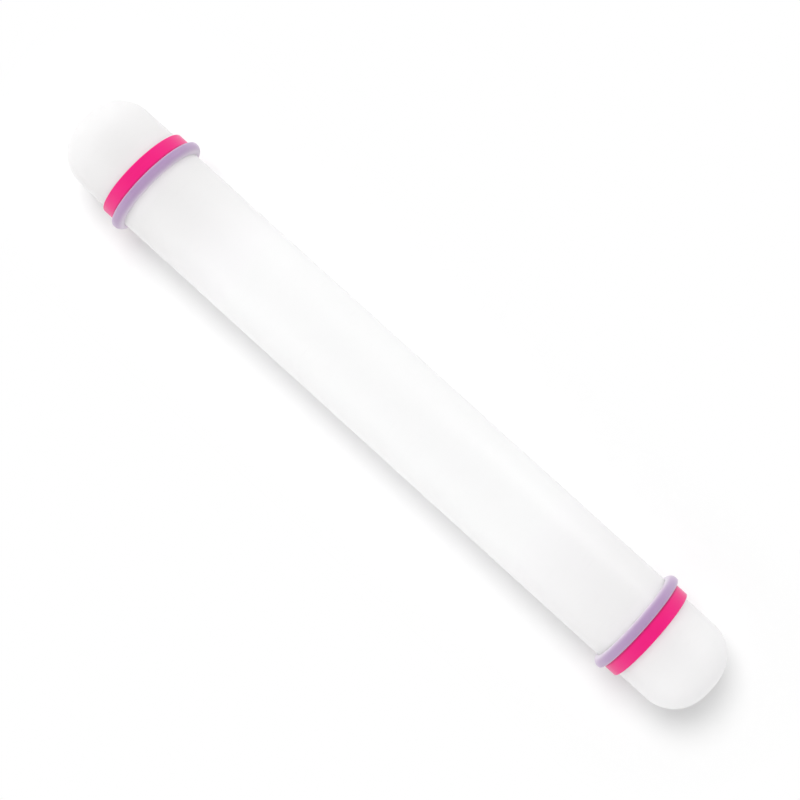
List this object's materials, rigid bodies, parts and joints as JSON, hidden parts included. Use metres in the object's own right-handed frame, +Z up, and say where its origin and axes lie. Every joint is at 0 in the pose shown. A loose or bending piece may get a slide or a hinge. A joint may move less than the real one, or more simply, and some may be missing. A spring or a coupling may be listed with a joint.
{
  "type": "adjustable rolling pin",
  "caption": "Solid rod with domed ends and slide-on guide rings near each end, tall ones inboard and low ones outboard, that hold the rod at a set height above a board.",
  "frame": {"origin": "under the middle of the bar, on the surface that the tall rings stand on", "axes": "+X along the bar from the left end to the right end, +Z up, +Y level and across the bar"},
  "size_m": [0.2286, 0.0318, 0.0318],
  "materials": {
    "bar_plastic": "satin",
    "lavender_rubber": "satin",
    "pink_rubber": "satin"
  },
  "bodies": {
    "roller": {"roller_bar": "bar_plastic"},
    "tall_left": {"tall_ring_left": "lavender_rubber"},
    "low_left": {"low_ring_left": "pink_rubber"},
    "tall_right": {"tall_ring_right": "lavender_rubber"},
    "low_right": {"low_ring_right": "pink_rubber"}
  },
  "joints": [
    {"name": "tall_left_slide", "type": "slide", "parent": "roller", "child": "tall_left", "axis": [-1, 0, 0], "range_m": [-0.0851, 0.03]},
    {"name": "low_left_slide", "type": "slide", "parent": "tall_left", "child": "low_left", "axis": [-1, 0, 0], "range_m": [0, 0.0256]},
    {"name": "tall_right_slide", "type": "slide", "parent": "roller", "child": "tall_right", "axis": [1, 0, 0], "range_m": [-0.0851, 0.03]},
    {"name": "low_right_slide", "type": "slide", "parent": "tall_right", "child": "low_right", "axis": [1, 0, 0], "range_m": [0, 0.0256]}
  ]
}
